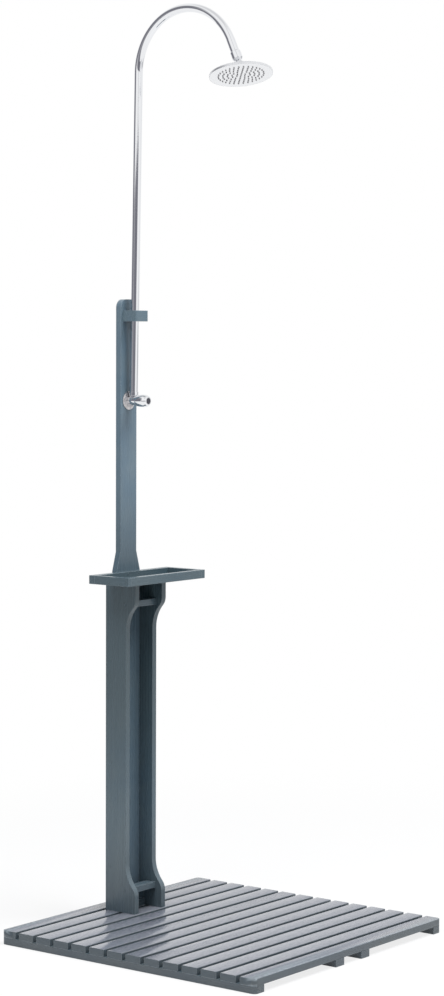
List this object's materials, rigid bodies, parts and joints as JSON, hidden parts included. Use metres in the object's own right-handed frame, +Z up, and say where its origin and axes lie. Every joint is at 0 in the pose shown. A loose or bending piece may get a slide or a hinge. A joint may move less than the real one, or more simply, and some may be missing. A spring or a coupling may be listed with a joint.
{
  "type": "outdoor shower",
  "caption": "Free-standing outdoor shower: slatted wooden deck, boxed post with a shelf tray, quarter-turn tap, gooseneck pipe and a round head that tilts on a ball.",
  "frame": {"origin": "middle of the deck, on the ground", "axes": "+X along the slats, +Y from the front to the post at the back, +Z up"},
  "size_m": [0.8, 0.8, 2.3721],
  "materials": {
    "slat_01": "planed wood with blue-grey satin paint",
    "slat_02": "planed wood with blue-grey satin paint",
    "slat_03": "planed wood with blue-grey satin paint",
    "slat_04": "planed wood with blue-grey satin paint",
    "slat_05": "planed wood with blue-grey satin paint",
    "slat_06": "planed wood with blue-grey satin paint",
    "slat_07": "planed wood with blue-grey satin paint",
    "slat_08": "planed wood with blue-grey satin paint",
    "slat_09": "planed wood with blue-grey satin paint",
    "slat_10": "planed wood with blue-grey satin paint",
    "slat_11": "planed wood with blue-grey satin paint",
    "slat_12": "planed wood with blue-grey satin paint",
    "slat_13": "planed wood with blue-grey satin paint",
    "slat_14": "planed wood with blue-grey satin paint",
    "joist_left": "planed wood with blue-grey satin paint",
    "joist_mid_left": "planed wood with blue-grey satin paint",
    "joist_mid_right": "planed wood with blue-grey satin paint",
    "joist_right": "planed wood with blue-grey satin paint",
    "deck_screws": "stainless steel",
    "left_side_board": "planed wood with blue-grey satin paint",
    "right_side_board": "planed wood with blue-grey satin paint",
    "spine_board": "planed wood with blue-grey satin paint",
    "upper_rail": "planed wood with blue-grey satin paint",
    "lower_rail": "planed wood with blue-grey satin paint",
    "foot_block": "planed wood with blue-grey satin paint",
    "foot_bolts": "stainless steel",
    "wood_screws": "stainless steel",
    "tray_front_rim": "planed wood with blue-grey satin paint",
    "tray_back_rim": "planed wood with blue-grey satin paint",
    "tray_left_end": "planed wood with blue-grey satin paint",
    "tray_right_end": "planed wood with blue-grey satin paint",
    "tray_floor": "planed wood with blue-grey satin paint",
    "clamp_block": "planed wood with blue-grey satin paint",
    "rosette": "polished chrome plate",
    "valve_body": "polished chrome plate",
    "back_washer": "black rubber",
    "back_nut": "turned brass",
    "headwork": "turned brass",
    "seat_seal": "black rubber",
    "fixed_disc": "ground ceramic",
    "moving_disc": "ground ceramic",
    "spindle": "turned brass",
    "spindle_seal": "black rubber",
    "knob": "polished chrome plate",
    "knob_screw": "stainless steel",
    "index_cap": "dark plain cap",
    "gooseneck": "polished chrome plate",
    "riser_seals": "black rubber",
    "riser_collar": "polished chrome plate",
    "end_nut": "polished chrome plate",
    "end_washer": "black rubber",
    "ball_stud": "polished chrome plate",
    "ball_seat": "moulded plastic ring",
    "ball_collar": "polished chrome plate",
    "head_shell": "polished chrome plate",
    "nozzle_mat": "grey silicone",
    "face_plate": "polished chrome plate"
  },
  "bodies": {
    "post": {"slat_01": "slat_01", "slat_02": "slat_02", "slat_03": "slat_03", "slat_04": "slat_04", "slat_05": "slat_05", "slat_06": "slat_06", "slat_07": "slat_07", "slat_08": "slat_08", "slat_09": "slat_09", "slat_10": "slat_10", "slat_11": "slat_11", "slat_12": "slat_12", "slat_13": "slat_13", "slat_14": "slat_14", "joist_left": "joist_left", "joist_mid_left": "joist_mid_left", "joist_mid_right": "joist_mid_right", "joist_right": "joist_right", "deck_screws": "deck_screws", "left_side_board": "left_side_board", "right_side_board": "right_side_board", "spine_board": "spine_board", "upper_rail": "upper_rail", "lower_rail": "lower_rail", "foot_block": "foot_block", "foot_bolts": "foot_bolts", "wood_screws": "wood_screws", "tray_front_rim": "tray_front_rim", "tray_back_rim": "tray_back_rim", "tray_left_end": "tray_left_end", "tray_right_end": "tray_right_end", "tray_floor": "tray_floor", "clamp_block": "clamp_block", "rosette": "rosette", "valve_body": "valve_body", "back_washer": "back_washer", "back_nut": "back_nut", "headwork": "headwork", "seat_seal": "seat_seal", "fixed_disc": "fixed_disc", "spindle_seal": "spindle_seal", "gooseneck": "gooseneck", "riser_seals": "riser_seals", "riser_collar": "riser_collar", "end_nut": "end_nut", "end_washer": "end_washer"},
    "knob": {"moving_disc": "moving_disc", "spindle": "spindle", "knob": "knob", "knob_screw": "knob_screw", "index_cap": "index_cap"},
    "ball_stud": {"ball_stud": "ball_stud"},
    "shower_head": {"ball_collar": "ball_collar", "ball_seat": "ball_seat", "head_shell": "head_shell", "nozzle_mat": "nozzle_mat", "face_plate": "face_plate"}
  },
  "joints": [
    {"name": "knob_turn", "type": "hinge", "parent": "post", "child": "knob", "pos_m": [0, 0.3185, 1.366], "axis": [0, -1, 0], "range_deg": [0, 90]},
    {"name": "head_swivel", "type": "hinge", "parent": "post", "child": "ball_stud", "pos_m": [0, -0.04014, 2.20764], "axis": [0, 0.4226, 0.9063], "continuous": true},
    {"name": "head_tilt", "type": "hinge", "parent": "ball_stud", "child": "shower_head", "pos_m": [0, -0.04014, 2.20764], "axis": [0.809, 0.5327, -0.2484], "range_deg": [-34.5, 5.5]}
  ]
}
